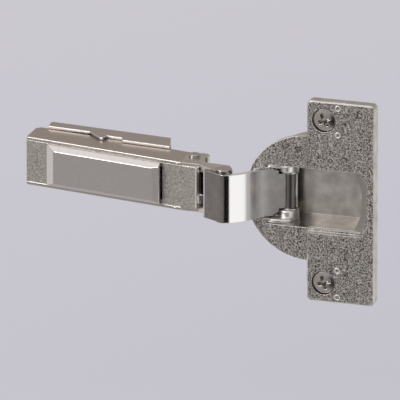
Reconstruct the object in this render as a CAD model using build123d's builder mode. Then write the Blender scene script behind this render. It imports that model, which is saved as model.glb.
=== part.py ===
from build123d import *
import os
from math import acos, atan2, cos, hypot, radians, sin, tan

# Concealed cup hinge, open at its stop.
# Frame: X runs along the cabinet side towards the door, -Y points off the cabinet side into
# the room and Z is up.  The origin is the middle of the mounting plate's two screw holes, on
# its back.  Profiles are drawn seen from above in (x, height off the cabinet side).

# ---- mounting plate
plate_hole_pitch = 32.0
plate_hole_diameter = 4.2
plate_countersink_diameter = 6.8
plate_end_margin = 3.95          # from a hole's centre to the end of the base
plate_base_thickness = 2.0
plate_wall_thickness = 0.8
plate_wall_low = 4.3             # height of the side walls behind the ramp
plate_wall_high = 7.8            # height of the side walls in front of it
plate_wall_notch = 5.8           # height left in the notch behind the front run
plate_ramp_start = -5.3
plate_ramp_end = -0.3
plate_notch_start = 1.0
plate_notch_end = 6.2
plate_front_overhang = 3.0       # the walls' front end leans out past the base
plate_rear_lean = 0.8
guide_rib_thickness = 1.1
guide_rib_height = 1.2

# ---- slide shoe and its clamp screw
shoe_thickness = 1.0
shoe_half_width = 5.7
shoe_front = 22.5
shoe_step = 1.4                  # the front of the shoe is raised by this
shoe_step_start = 9.0
depth_travel = 2.5               # the shoe slides this far each way
sliding_clearance = 0.05
clamp_thread_diameter = 5.0
clamp_head_diameter = 7.5
clamp_head_height = 2.3
clamp_washer_diameter = 8.4
clamp_washer_thickness = 0.5
recess_depth = 1.2
recess_width = 1.1
clamp_recess_length = 4.2
overlay_recess_length = 3.2
cup_recess_length = 4.0

# ---- overlay screw
overlay_screw_x = 15.5
overlay_thread_diameter = 5.0
overlay_neck_diameter = 3.0
overlay_foot_diameter = 5.2
overlay_foot_thickness = 1.0
overlay_screw_top = 13.2

# ---- arm: its front face is a plane tilted off the cabinet side
arm_tilt = 4.4
nose_x = 36.5
nose_height = 18.3
arm_length = 59.0
arm_depth = 10.1
arm_half_width = 7.65
arm_wall = 1.0
arm_rear_lean = 1.4
arm_front_cut = -5.5             # where the channel's side walls end at the front face
arm_front_lean = -2.0
channel_web_thickness = 0.9
channel_web_setback = 12.0       # from the arm's rear end to the channel's web
channel_web_front = -13.0
body_floor_thickness = 1.8
body_rail_thickness = 1.3
cover_setback = 7.5              # from the arm's rear end to the cover
cover_front = -12.6
nose_wall = 1.4
nose_half_width = 6.65
cross_wall_thickness = 1.3
lug_thickness = 1.7
tilt_axle_setback = 4.5          # from the arm's rear end to the tilt axle
tilt_axle_n = -7.2
tilt_axle_diameter = 3.0
shoe_ear_radius = 2.4
shoe_ear_thickness = 1.2
shoe_ear_gap = 0.15

# ---- cover
cover_half_width = 6.6
cover_side = 1.2
cover_rise = 2.6
cover_bevel_side = 1.3
cover_bevel_rear = 3.1
cover_bevel_front = 2.3
cover_wall = 0.8

# ---- links and their axles
outer_axle = (46.1, 20.0)        # arm end of the outer link, (x, height)
inner_axle = (32.4, 10.7)        # arm end of the inner link
outer_cup_pin = (-7.6, -6.7)     # cup end of the outer link, (along the door, off its face)
inner_cup_pin = (-12.0, -5.5)    # cup end of the inner link
outer_axle_diameter = 2.5
outer_head_diameter = 5.0
inner_axle_diameter = 2.0
inner_head_diameter = 3.6
head_thickness = 0.6
outer_cup_pin_diameter = 2.2
inner_cup_pin_diameter = 1.8
running_clearance = 0.05
outer_link_thickness = 1.4
outer_link_half_width = 7.6
outer_link_eye_half_width = 5.5
outer_link_bends = [1.6, 8.0, 14.0, 18.0]
outer_eye_radius = 2.2
outer_ear_radius = 2.9
outer_ear_thickness = 1.4
ear_side_gap = 0.1
inner_link_thickness = 1.2
inner_link_half_width = 3.6
inner_link_bend = 1.4
inner_link_crest = (-18.15, 0.66)  # the bend that passes over the cup's rim, as (u, w)
inner_link_knee = (-14.3, -4.3)  # the bend inside the pocket, as (u, w)
inner_eye_radius = 1.7
open_pivot_clearance = 1.45      # the inner link's arm eye floats round its axle by this
open_eye_wall = 1.0

# ---- closing spring
spring_thickness = 0.6
spring_half_width = 4.4
spring_front = -0.8
rivet_a = -8.6
rivet_diameter = 2.0
rivet_head_diameter = 3.4
rivet_head_height = 0.6
rivet_set = 0.9                  # the rivet goes this far into the nose's wall

# ---- cup, set in the door
door_angle = 5.7                 # 95.7 degrees between the cabinet side and the open door
cup_x = 70.95
cup_height = 12.9
cup_diameter = 35.0
cup_depth = 11.8                 # below the door's surface
disc_diameter = 39.7
disc_thickness = 1.4
flange_near = 0.1
flange_far = 21.6
flange_half_length = 32.0
flange_height = 2.0              # of the flange's face above the disc
flange_corner = 1.5
flange_edge = 0.4
pocket_radius = 16.3             # at the links' end
pocket_far_radius = 16.9         # under the flange
pocket_half_width = 9.5
pocket_depth = 11.0
pocket_draft = 5.0
ledge_radius = 19.2              # the pocket's rim is chamfered under the flange
ledge_far = 18.6
ledge_depth = 1.1
cutout_radius = 20.2
cutout_far = 19.6
cutout_half_width = 10.3
notch_half_width = 8.2
cup_screw_pitch = 52.0
cup_screw_offset = 5.5
cup_screw_diameter = 3.2
cup_screw_head_diameter = 7.0
cup_screw_length = 14.0
cup_screw_sink = 0.6             # the head's top lies this far under the flange's face

# ---- planes
tilt = radians(arm_tilt)
lean = radians(door_angle)
side = Plane(origin=(0, 0, 0), x_dir=(1, 0, 0), z_dir=(0, 0, -1))
base = Plane(origin=(0, 0, 0), x_dir=(1, 0, 0), z_dir=(0, -1, 0))
nose = (nose_x, -nose_height, 0)
arm_side = Plane(origin=nose, x_dir=(cos(tilt), -sin(tilt), 0), z_dir=(0, 0, -1))
arm_front = Plane(origin=nose, x_dir=(cos(tilt), -sin(tilt), 0), z_dir=(-sin(tilt), -cos(tilt), 0))
cup_centre = (cup_x, -cup_height, 0)
door_side = Plane(origin=cup_centre, x_dir=(cos(lean), sin(lean), 0), z_dir=(0, 0, -1))
door_face = Plane(origin=cup_centre, x_dir=(cos(lean), sin(lean), 0), z_dir=(sin(lean), -cos(lean), 0))


def from_arm(a, n):
    """(x, height) of a point a along the arm and n off its front face."""
    return (nose_x + a * cos(tilt) - n * sin(tilt), nose_height + a * sin(tilt) + n * cos(tilt))


def to_arm(x, height):
    """(a, n) of a point given as (x, height)."""
    dx = x - nose_x
    dh = height - nose_height
    return (dx * cos(tilt) + dh * sin(tilt), dh * cos(tilt) - dx * sin(tilt))


def from_door(u, w):
    """(x, height) of a point u along the door and w off the disc's face."""
    return (cup_x + u * cos(lean) + w * sin(lean), cup_height - u * sin(lean) + w * cos(lean))


def axle_plane(point, z):
    """A plane across an axle at (x, height), z up, its normal up."""
    return Plane(origin=(point[0], -point[1], z), z_dir=(0, 0, 1))


outer_arm = to_arm(*outer_axle)
inner_arm = to_arm(*inner_axle)
outer_cup = from_door(*outer_cup_pin)
inner_cup = from_door(*inner_cup_pin)
arm_rear = -arm_length
cover_rear = arm_rear + cover_setback
channel_web_rear = arm_rear + channel_web_setback
tilt_axle_a = arm_rear + tilt_axle_setback
tilt_axle_at = from_arm(tilt_axle_a, tilt_axle_n)

os.makedirs("parts", exist_ok=True)


def save(builder, name):
    """Label a finished piece and write its STEP file."""
    builder.part.label = name
    export_step(builder.part, f"parts/{name}.step")


# ======== mounting plate: a base with two side walls that guide the arm
plate_rear = -plate_hole_pitch / 2 - plate_end_margin
plate_front = -plate_rear
plate_inner = arm_half_width + 0.15
plate_outer = plate_inner + plate_wall_thickness
guide_inner = shoe_half_width + sliding_clearance

with BuildPart() as mounting_plate:
    with BuildSketch(side):
        with BuildLine():
            Polyline(
                (plate_rear, 0),
                (plate_front, 0),
                (plate_front + plate_front_overhang, plate_wall_high),
                (plate_notch_end + 0.8, plate_wall_high),
                (plate_notch_end, plate_wall_notch),
                (plate_notch_start, plate_wall_notch),
                (plate_notch_start - 0.3, plate_wall_high + 0.4),
                (plate_ramp_end, plate_wall_high + 0.4),
                (plate_ramp_start, plate_wall_low),
                (plate_rear + plate_rear_lean, plate_wall_low),
                close=True,
            )
        make_face()
    extrude(amount=plate_outer, both=True)
    with BuildSketch(side):
        with Locations(((plate_rear + plate_front) / 2, plate_base_thickness)):
            Rectangle(4 * plate_front, 2 * plate_wall_high, align=(Align.CENTER, Align.MIN))
    extrude(amount=plate_inner, both=True, mode=Mode.SUBTRACT)
    with BuildSketch(base.offset(plate_base_thickness)):
        for z in (-1, 1):
            with Locations((0, z * (guide_inner + guide_rib_thickness / 2))):
                Rectangle(2 * plate_front - 2, guide_rib_thickness)
    extrude(amount=guide_rib_height)
    with Locations(base.offset(plate_base_thickness)):
        with GridLocations(plate_hole_pitch, 1, 2, 1):
            CounterSinkHole(plate_hole_diameter / 2, plate_countersink_diameter / 2, plate_base_thickness)
        Hole(clamp_thread_diameter / 2 + running_clearance, plate_base_thickness)
save(mounting_plate, "mounting_plate")

# ======== slide shoe: a strip on the plate, with two ears at the back that carry the arm
shoe_bottom = plate_base_thickness + sliding_clearance
shoe_top = shoe_bottom + shoe_thickness
slot_length = 2 * depth_travel + clamp_thread_diameter + 0.4
slot_width = clamp_thread_diameter + 0.4
overlay_slot_width = overlay_neck_diameter + 0.3
shoe_rear = tilt_axle_at[0] - shoe_ear_radius
rail_inner = arm_half_width - arm_wall - body_rail_thickness
ear_inner = rail_inner - shoe_ear_gap - shoe_ear_thickness

with BuildPart() as slide_shoe:
    with BuildSketch(side):
        with BuildLine():
            Polyline(
                (shoe_rear, shoe_bottom),
                (shoe_step_start, shoe_bottom),
                (shoe_step_start + shoe_step, shoe_bottom + shoe_step),
                (shoe_front, shoe_bottom + shoe_step),
                (shoe_front, shoe_top + shoe_step),
                (shoe_step_start + shoe_step - 0.4, shoe_top + shoe_step),
                (shoe_step_start - 0.4, shoe_top),
                (shoe_rear, shoe_top),
                close=True,
            )
        make_face()
    extrude(amount=shoe_half_width, both=True)
    with BuildSketch(base.offset(shoe_bottom)):
        SlotOverall(slot_length, slot_width)
        with Locations((overlay_screw_x, 0)):
            Rectangle(2 * (shoe_front - overlay_screw_x), overlay_slot_width, align=(Align.MIN, Align.CENTER))
            Circle(overlay_slot_width / 2)
    extrude(amount=2 * (shoe_step + shoe_thickness), mode=Mode.SUBTRACT)
    with BuildSketch(side.offset(ear_inner)):
        with Locations(tilt_axle_at):
            Circle(shoe_ear_radius)
        with Locations((tilt_axle_at[0], shoe_bottom)):
            Rectangle(
                2 * shoe_ear_radius, tilt_axle_at[1] - shoe_bottom, align=(Align.CENTER, Align.MIN)
            )
    ear = extrude(amount=shoe_ear_thickness)
    mirror(ear, about=Plane.XY)
    with BuildSketch(side):
        with Locations(tilt_axle_at):
            Circle(tilt_axle_diameter / 2 + running_clearance)
    extrude(amount=shoe_half_width, both=True, mode=Mode.SUBTRACT)
save(slide_shoe, "slide_shoe")


def cross(plane, centre, length):
    """The outline of a cross recess on a plane."""
    with BuildSketch(plane) as recess:
        with Locations(centre):
            Rectangle(length, recess_width)
            Rectangle(recess_width, length)
    return recess.sketch


# ======== clamp washer and clamp screw: they hold the shoe down on the plate
washer_bottom = shoe_top + sliding_clearance
washer_top = washer_bottom + clamp_washer_thickness
clamp_thread_end = 0.2

with BuildPart() as clamp_washer:
    with BuildSketch(base.offset(washer_bottom)):
        Circle(clamp_washer_diameter / 2)
        Circle(clamp_thread_diameter / 2 + 0.1, mode=Mode.SUBTRACT)
    extrude(amount=clamp_washer_thickness)
save(clamp_washer, "clamp_washer")

with BuildPart() as clamp_screw:
    with BuildSketch(base.offset(clamp_thread_end)):
        Circle(clamp_thread_diameter / 2)
    extrude(amount=washer_top - clamp_thread_end)
    with BuildSketch(base.offset(washer_top)):
        Circle(clamp_head_diameter / 2)
    extrude(amount=clamp_head_height)
    extrude(
        cross(base.offset(washer_top + clamp_head_height), (0, 0), clamp_recess_length),
        amount=-recess_depth,
        mode=Mode.SUBTRACT,
    )
save(clamp_screw, "clamp_screw")

# ======== overlay screw: stands on its foot under the shoe and lifts the arm off it
foot_top = shoe_bottom + shoe_step - 0.15
foot_bottom = foot_top - overlay_foot_thickness
collar_bottom = shoe_top + shoe_step + 0.15
screw_profile = [
    (overlay_foot_diameter / 2, foot_bottom, foot_top),
    (overlay_neck_diameter / 2, foot_top, collar_bottom),
    (overlay_thread_diameter / 2, collar_bottom, overlay_screw_top),
]
with BuildPart() as overlay_screw:
    for radius, low, high in screw_profile:
        with BuildSketch(base.offset(low)):
            with Locations((overlay_screw_x, 0)):
                Circle(radius)
        extrude(amount=high - low)
    extrude(
        cross(base.offset(overlay_screw_top), (overlay_screw_x, 0), overlay_recess_length),
        amount=-recess_depth,
        mode=Mode.SUBTRACT,
    )
save(overlay_screw, "overlay_screw")

# ======== arm channel: the folded steel outside of the arm
web_top = channel_web_thickness - arm_depth
clamp_window_a = to_arm(0, washer_top + clamp_head_height / 2)[0]
clamp_window_half_length = clamp_head_diameter / 2 + depth_travel + 0.6
clamp_window_half_width = clamp_head_diameter / 2 + 0.4
overlay_nut_n = web_top + body_floor_thickness / 2 - channel_web_thickness / 2
overlay_nut_a = (overlay_screw_x - nose_x + overlay_nut_n * sin(tilt)) / cos(tilt)
overlay_nut_radius = overlay_thread_diameter / 2 + 0.5


# openings through the arm's floor for the clamp screw's head and the overlay screw
with BuildSketch(arm_front.offset(-arm_depth - 1)) as arm_windows:
    with Locations((clamp_window_a, 0)):
        SlotOverall(2 * clamp_window_half_length, 2 * clamp_window_half_width)
    with Locations((overlay_nut_a, 0)):
        Circle(overlay_nut_radius)
arm_window_depth = 1 + channel_web_thickness + body_floor_thickness + 0.1

with BuildPart() as arm_channel:
    with BuildSketch(arm_side):
        with BuildLine():
            Polyline(
                (arm_rear, 0),
                (arm_rear - arm_rear_lean, -arm_depth + 1.4),
                (arm_rear - arm_rear_lean + 1.2, -arm_depth),
                (arm_front_cut + arm_front_lean, -arm_depth),
                (arm_front_cut, 0),
                close=True,
            )
        make_face()
    extrude(amount=arm_half_width, both=True)
    with BuildSketch(arm_side):
        Rectangle(3 * arm_length, 3 * arm_depth)
    extrude(amount=arm_half_width - arm_wall, both=True, mode=Mode.SUBTRACT)
    with BuildSketch(arm_side):
        with Locations((channel_web_rear, -arm_depth)):
            Rectangle(
                channel_web_front - channel_web_rear, channel_web_thickness, align=(Align.MIN, Align.MIN)
            )
    extrude(amount=arm_half_width - arm_wall, both=True)
    extrude(arm_windows.sketch, amount=arm_window_depth, mode=Mode.SUBTRACT)
save(arm_channel, "arm_channel")

# ======== arm body: the casting inside the channel, whose nose carries both link axles
body_half_width = arm_half_width - arm_wall
body_low = web_top
lug_inner = arm_half_width - lug_thickness
lug_back = -3.6
rear_boss_centre = (-2.9, -8.9)
rear_boss_radius = 2.3
web_gap = 0.3
lug_front_radius = 2.55
lug_front_centre = (outer_arm[0] - 0.2, outer_arm[1] - 0.7)
inner_boss_radius = 3.4
cross_wall_front = -10.7
trough_rear = cover_rear + 1.2
ear_room_radius = shoe_ear_radius + 0.7
channel_end_slope = -arm_front_lean / arm_depth


def tangent(point, centre, radius, turn):
    """Where a line from a point touches a circle; turn picks the side, seen from the circle."""
    dx = point[0] - centre[0]
    dy = point[1] - centre[1]
    angle = atan2(dy, dx) + turn * acos(radius / hypot(dx, dy))
    return (centre[0] + radius * cos(angle), centre[1] + radius * sin(angle))


with BuildPart() as arm_body:
    with BuildSketch(arm_side):
        with BuildLine():
            Polyline(
                (arm_rear, 0),
                (arm_rear - arm_rear_lean * 0.9, body_low + 0.5),
                (arm_rear - arm_rear_lean * 0.9 + 0.6, body_low),
                (cross_wall_front, body_low),
                (cross_wall_front, -nose_wall),
                (0, -nose_wall),
                (0, 0),
                close=True,
            )
        make_face()
    extrude(amount=body_half_width, both=True)
    # the trough under the cover
    with BuildSketch(arm_front):
        with Locations((trough_rear, 0)):
            Rectangle(
                cross_wall_front - cross_wall_thickness - trough_rear,
                2 * rail_inner,
                align=(Align.MIN, Align.CENTER),
            )
    extrude(amount=body_low + body_floor_thickness, mode=Mode.SUBTRACT)
    # the room for the shoe's ears, open below
    with BuildSketch(arm_side):
        with Locations((tilt_axle_a, body_low)):
            Rectangle(2 * ear_room_radius, 2 * (tilt_axle_n + ear_room_radius - body_low))
    extrude(amount=rail_inner, both=True, mode=Mode.SUBTRACT)
    # side walls of the nose
    with BuildSketch(arm_side.offset(rail_inner)):
        with BuildLine():
            Polyline(
                (cross_wall_front - 0.1, body_low),
                (arm_front_cut + arm_front_lean - 0.3, body_low),
                (-1.0, -nose_wall - 3.0),
                (-0.6, -nose_wall + 0.1),
                (cross_wall_front - 0.1, -nose_wall + 0.1),
                close=True,
            )
        make_face()
    nose_side = extrude(amount=body_half_width - rail_inner)
    mirror(nose_side, about=Plane.XY)
    # lugs either side of the links
    with BuildSketch(arm_side.offset(lug_inner)):
        with BuildLine():
            Polyline(
                (arm_front_cut + 0.1, 0),
                (0, -1.0),
                tangent((0, -1.0), lug_front_centre, lug_front_radius, -1),
                lug_front_centre,
                tangent((9.0, lug_back - 0.8), lug_front_centre, lug_front_radius, 1),
                (9.0, lug_back - 0.8),
                (1.0, lug_back),
                (-1.2, -7.6),
                inner_arm,
                (arm_front_cut + arm_front_lean + 0.1, -arm_depth),
                close=True,
            )
        make_face()
        with Locations(lug_front_centre):
            Circle(lug_front_radius)
        with Locations(inner_arm):
            Circle(inner_boss_radius)
        with Locations(rear_boss_centre):
            Circle(rear_boss_radius)
        with BuildLine():
            Polyline(
                (arm_front_cut + 0.05 + 5 * channel_end_slope, 5),
                (arm_front_cut + 0.05 - 15 * channel_end_slope, -15),
                (arm_rear, -15),
                (arm_rear, 5),
                close=True,
            )
        make_face(mode=Mode.SUBTRACT)
    lug = extrude(amount=lug_thickness)
    mirror(lug, about=Plane.XY)
    # bores for the axles and the spring's rivet
    with BuildSketch(arm_side):
        with Locations(outer_arm):
            Circle(outer_axle_diameter / 2)
        with Locations(inner_arm):
            Circle(inner_axle_diameter / 2)
        with Locations((tilt_axle_a, tilt_axle_n)):
            Circle(tilt_axle_diameter / 2)
    extrude(amount=arm_half_width + 1, both=True, mode=Mode.SUBTRACT)
    with BuildSketch(arm_front.offset(-nose_wall)):
        with Locations((rivet_a, 0)):
            Circle(rivet_diameter / 2)
    extrude(amount=rivet_set, mode=Mode.SUBTRACT)
    extrude(arm_windows.sketch, amount=arm_window_depth, mode=Mode.SUBTRACT)
save(arm_body, "arm_body")

# ======== arm cover: a bevelled cap that snaps on over the screws
snap_leg_depth = 2.5
with BuildPart() as arm_cover:
    with BuildSketch(arm_front):
        with Locations((cover_rear, 0)):
            Rectangle(cover_front - cover_rear, 2 * cover_half_width, align=(Align.MIN, Align.CENTER))
    extrude(amount=cover_side)
    with BuildSketch(arm_front.offset(cover_side)):
        with Locations((cover_rear, 0)):
            Rectangle(cover_front - cover_rear, 2 * cover_half_width, align=(Align.MIN, Align.CENTER))
    with BuildSketch(arm_front.offset(cover_rise)):
        with Locations((cover_rear + cover_bevel_rear, 0)):
            Rectangle(
                cover_front - cover_rear - cover_bevel_rear - cover_bevel_front,
                2 * (cover_half_width - cover_bevel_side),
                align=(Align.MIN, Align.CENTER),
            )
    loft()
    with BuildSketch(arm_front):
        with Locations((cover_rear + cover_bevel_rear, 0)):
            Rectangle(
                cover_front - cover_rear - cover_bevel_rear - cover_bevel_front,
                2 * (cover_half_width - cover_bevel_side),
                align=(Align.MIN, Align.CENTER),
            )
    extrude(amount=cover_rise - cover_wall, mode=Mode.SUBTRACT)
    # snap legs inside the trough
    with BuildSketch(arm_front.offset(-snap_leg_depth)):
        with Locations(((cover_rear + cover_front) / 2, 0)):
            with GridLocations(cover_front - cover_rear - 16, 2 * rail_inner - 1.1, 2, 2):
                Rectangle(4.0, 0.8)
    extrude(amount=snap_leg_depth + cover_rise - cover_wall)
save(arm_cover, "arm_cover")


def headed_axle(name, point, diameter, head_diameter, half_length):
    """A straight axle across the hinge with a flat riveted head at each end."""
    with BuildPart() as axle:
        with BuildSketch(axle_plane(point, -half_length - head_thickness)):
            Circle(head_diameter / 2)
        extrude(amount=head_thickness)
        with BuildSketch(axle_plane(point, -half_length)):
            Circle(diameter / 2)
        extrude(amount=2 * half_length)
        with BuildSketch(axle_plane(point, half_length)):
            Circle(head_diameter / 2)
        extrude(amount=head_thickness)
    save(axle, name)


def plain_axle(name, point, diameter, half_length):
    """A straight axle with no heads."""
    with BuildPart() as axle:
        with BuildSketch(axle_plane(point, -half_length)):
            Circle(diameter / 2)
        extrude(amount=2 * half_length)
    save(axle, name)


headed_axle("outer_arm_axle", outer_axle, outer_axle_diameter, outer_head_diameter, arm_half_width)
headed_axle("inner_arm_axle", inner_axle, inner_axle_diameter, inner_head_diameter, arm_half_width)
plain_axle("tilt_axle", tilt_axle_at, tilt_axle_diameter, body_half_width)

# ======== closing spring: a leaf riveted behind the nose's front wall
spring_rear = cross_wall_front + 0.3
with BuildPart() as closing_spring:
    with BuildSketch(arm_front.offset(-nose_wall)):
        with Locations((spring_rear, 0)):
            Rectangle(spring_front - spring_rear, 2 * spring_half_width, align=(Align.MIN, Align.CENTER))
        with Locations((rivet_a, 0)):
            Circle(rivet_diameter / 2, mode=Mode.SUBTRACT)
    extrude(amount=-spring_thickness)
save(closing_spring, "closing_spring")

with BuildPart() as spring_rivet:
    with BuildSketch(arm_front.offset(rivet_set - nose_wall)):
        with Locations((rivet_a, 0)):
            Circle(rivet_diameter / 2)
    extrude(amount=-rivet_set - spring_thickness)
    with BuildSketch(arm_front.offset(-nose_wall - spring_thickness)):
        with Locations((rivet_a, 0)):
            Circle(rivet_head_diameter / 2)
    extrude(amount=-rivet_head_height)
save(spring_rivet, "spring_rivet")

# ======== outer link: a wide bent strip, with ears round the arm axle and a rolled eye in the cup
link_tail = (40.26, 20.79)
link_last_bend = (55.75, 13.98)
eye_run = hypot(outer_cup[0] - link_last_bend[0], outer_cup[1] - link_last_bend[1])
eye_along = ((link_last_bend[0] - outer_cup[0]) / eye_run, (link_last_bend[1] - outer_cup[1]) / eye_run)
eye_plane = Plane(
    origin=(outer_cup[0], -outer_cup[1], 0),
    x_dir=(eye_along[0], -eye_along[1], 0),
    z_dir=(eye_along[1], eye_along[0], 0),
)
waist_start = 6.2                # from the cup axle, where the strip starts to narrow
waist_end = 4.1
relief_half_width = inner_link_half_width + 0.3

with BuildPart() as outer_link:
    with BuildSketch(side):
        with BuildLine():
            FilletPolyline(
                link_tail,
                (47.39, 23.68),
                (49.35, 22.82),
                (52.44, 20.03),
                link_last_bend,
                outer_cup,
                radius=outer_link_bends,
            )
        trace(line_width=outer_link_thickness)
    extrude(amount=outer_link_half_width, both=True)
    # the strip narrows to the width between the cup's bosses
    with BuildSketch(eye_plane):
        with BuildLine():
            Polyline(
                (-outer_eye_radius, outer_link_eye_half_width),
                (waist_end, outer_link_eye_half_width),
                (waist_start, outer_link_half_width),
                (waist_start, outer_link_half_width + 1),
                (-outer_eye_radius, outer_link_half_width + 1),
                close=True,
            )
        make_face()
        mirror(about=Plane.XZ)
    extrude(amount=2 * outer_eye_radius, both=True, mode=Mode.SUBTRACT)
    with BuildSketch(side):
        with Locations(outer_cup):
            Circle(outer_eye_radius)
    extrude(amount=outer_link_eye_half_width, both=True)
    # ears round the arm axle, folded in from the strip
    with BuildSketch(side.offset(lug_inner - ear_side_gap - outer_ear_thickness)):
        with Locations(outer_axle):
            Circle(outer_ear_radius)
    link_ear = extrude(amount=outer_ear_thickness)
    mirror(link_ear, about=Plane.XY)
    with BuildSketch(side):
        with Locations(outer_axle):
            Circle(outer_axle_diameter / 2 + running_clearance)
        with Locations(outer_cup):
            Circle(outer_cup_pin_diameter / 2 + running_clearance)
    extrude(amount=outer_link_half_width + 1, both=True, mode=Mode.SUBTRACT)
    # a hollow in the strip's inner side leaves room for the inner link's eye
    with BuildSketch(side):
        with Locations(inner_cup):
            Circle(inner_eye_radius + 0.15)
    extrude(amount=relief_half_width, both=True, mode=Mode.SUBTRACT)
save(outer_link, "outer_link")

# ======== inner link: a narrow bent strip under the outer one
open_eye_radius = inner_axle_diameter / 2 + open_pivot_clearance
with BuildPart() as inner_link:
    with BuildSketch(side):
        with BuildLine():
            FilletPolyline(
                inner_axle,
                (38.0, 13.2),
                (45.0, 16.6),
                (50.0, 17.4),
                from_door(*inner_link_crest),
                from_door(*inner_link_knee),
                inner_cup,
                radius=inner_link_bend,
            )
        trace(line_width=inner_link_thickness)
        with Locations(inner_axle):
            Circle(open_eye_radius + open_eye_wall)
        with Locations(inner_cup):
            Circle(inner_eye_radius)
        with Locations(inner_axle):
            Circle(open_eye_radius, mode=Mode.SUBTRACT)
        with Locations(inner_cup):
            Circle(inner_cup_pin_diameter / 2 + running_clearance, mode=Mode.SUBTRACT)
    extrude(amount=inner_link_half_width, both=True)
save(inner_link, "inner_link")

# ======== cup: a die-cast cup with its disc and the screwed flange in one piece
body_bottom = -disc_thickness - cup_depth
boss_radius = 2.6
boss_inner = outer_link_eye_half_width + 0.1
pin_boss_inner = outer_link_half_width + 0.2
pin_boss_radius = 2.1
notch_floor = -1.0
deep_notch_floor = -3.5
deep_notch_near = -17.9
notch_far = -12.0
inner_relief_near = -16.6
inner_relief_depth = 2.5
screw_head_top = flange_height - cup_screw_sink
screw_head_side = 1.2
screw_seat = screw_head_top - screw_head_side
screw_recess_diameter = cup_screw_head_diameter + 0.6
body_edge = 0.8
wall_reach = pocket_half_width + 1.6     # the axles end this far out, inside the cup's walls
boss_reach = pocket_half_width + 0.2     # the bosses run just into the pocket's side walls

# the pocket: round ends, long sides with their moulding draft
pocket_draft_run = pocket_depth * tan(radians(pocket_draft))
with BuildPart() as pocket:
    with BuildSketch(door_face):
        Circle(pocket_far_radius)
        Rectangle(pocket_far_radius, cup_diameter, align=(Align.MIN, Align.CENTER), mode=Mode.INTERSECT)
        Circle(pocket_radius)
    extrude(amount=-pocket_depth)
    with BuildSketch(Plane(origin=cup_centre, x_dir=(0, 0, 1), z_dir=door_face.x_dir)):
        with BuildLine():
            Polyline(
                (pocket_half_width, 0),
                (pocket_half_width - pocket_draft_run, -pocket_depth),
                (pocket_draft_run - pocket_half_width, -pocket_depth),
                (-pocket_half_width, 0),
                close=True,
            )
        make_face()
    extrude(amount=cup_diameter, both=True, mode=Mode.INTERSECT)

# the chamfer round the pocket's rim, under the flange only
with BuildPart() as pocket_ledge:
    with BuildSketch(door_side):
        with BuildLine():
            Polyline(
                (0, 0),
                (ledge_radius, 0),
                (pocket_far_radius, -ledge_depth),
                (0, -ledge_depth),
                close=True,
            )
        make_face()
    revolve(axis=Axis(cup_centre, door_face.z_dir))
    with BuildSketch(door_face):
        Rectangle(ledge_far, 2 * pocket_half_width, align=(Align.MIN, Align.CENTER))
    extrude(amount=-ledge_depth, mode=Mode.INTERSECT)

with BuildPart() as cup:
    with BuildSketch(door_face.offset(-disc_thickness)):
        Circle(disc_diameter / 2)
    extrude(amount=disc_thickness)
    with BuildSketch(door_face):
        Circle(cup_diameter / 2)
    extrude(amount=body_bottom)
    chamfer(cup.edges().filter_by(GeomType.CIRCLE).sort_by(Axis(cup_centre, door_face.z_dir))[0], body_edge)
    with BuildSketch(door_face.offset(-disc_thickness)):
        with Locations((flange_near, 0)):
            Rectangle(
                flange_far - flange_near, 2 * flange_half_length, align=(Align.MIN, Align.CENTER)
            )
        fillet(vertices(), flange_corner)
    extrude(amount=disc_thickness + flange_height)
    chamfer(cup.faces().sort_by(Axis(cup_centre, door_face.z_dir))[-1].edges(), flange_edge)
    add(pocket.part, mode=Mode.SUBTRACT)
    add(pocket_ledge.part, mode=Mode.SUBTRACT)
    # the flange is cut away over the pocket, down to the disc
    with BuildSketch(door_face):
        Circle(cutout_radius)
        with Locations((cutout_far, 0)):
            Rectangle(
                2 * cutout_radius,
                2 * cutout_half_width,
                align=(Align.MAX, Align.CENTER),
                mode=Mode.INTERSECT,
            )
    extrude(amount=flange_height, mode=Mode.SUBTRACT)
    # a way in for the links
    with BuildSketch(door_face):
        with Locations((notch_far, 0)):
            Rectangle(cup_diameter, 2 * notch_half_width, align=(Align.MAX, Align.CENTER))
    extrude(amount=notch_floor, mode=Mode.SUBTRACT)
    with BuildSketch(door_face):
        with Locations((notch_far, 0)):
            Rectangle(notch_far - deep_notch_near, 2 * notch_half_width, align=(Align.MAX, Align.CENTER))
    extrude(amount=deep_notch_floor, mode=Mode.SUBTRACT)
    with BuildSketch(door_face.offset(deep_notch_floor)):
        with Locations((inner_relief_near, 0)):
            Rectangle(
                notch_far - inner_relief_near, 2 * relief_half_width + 0.4, align=(Align.MIN, Align.CENTER)
            )
    extrude(amount=-inner_relief_depth, mode=Mode.SUBTRACT)
    # bosses that carry the two axles
    with BuildSketch(door_side.offset(boss_inner)):
        with Locations(outer_cup_pin):
            Circle(boss_radius)
    boss = extrude(amount=boss_reach - boss_inner)
    mirror(boss, about=Plane.XY)
    with BuildSketch(door_side.offset(pin_boss_inner)):
        with Locations(inner_cup_pin):
            Circle(pin_boss_radius)
    pin_boss = extrude(amount=boss_reach - pin_boss_inner)
    mirror(pin_boss, about=Plane.XY)
    with BuildSketch(door_side):
        with Locations(outer_cup_pin):
            Circle(outer_cup_pin_diameter / 2)
        with Locations(inner_cup_pin):
            Circle(inner_cup_pin_diameter / 2)
    extrude(amount=wall_reach, both=True, mode=Mode.SUBTRACT)
    # seats for the two screws
    with BuildSketch(door_face.offset(screw_seat)):
        with Locations((cup_screw_offset, 0)):
            with GridLocations(1, cup_screw_pitch, 1, 2):
                Circle(screw_recess_diameter / 2)
    extrude(amount=flange_height, mode=Mode.SUBTRACT)
    with Locations(door_face.offset(screw_seat)):
        with Locations((cup_screw_offset, 0)):
            with GridLocations(1, cup_screw_pitch, 1, 2):
                CounterSinkHole(cup_screw_diameter / 2 + 0.1, cup_screw_head_diameter / 2 + 0.05)
save(cup, "cup")

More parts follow.
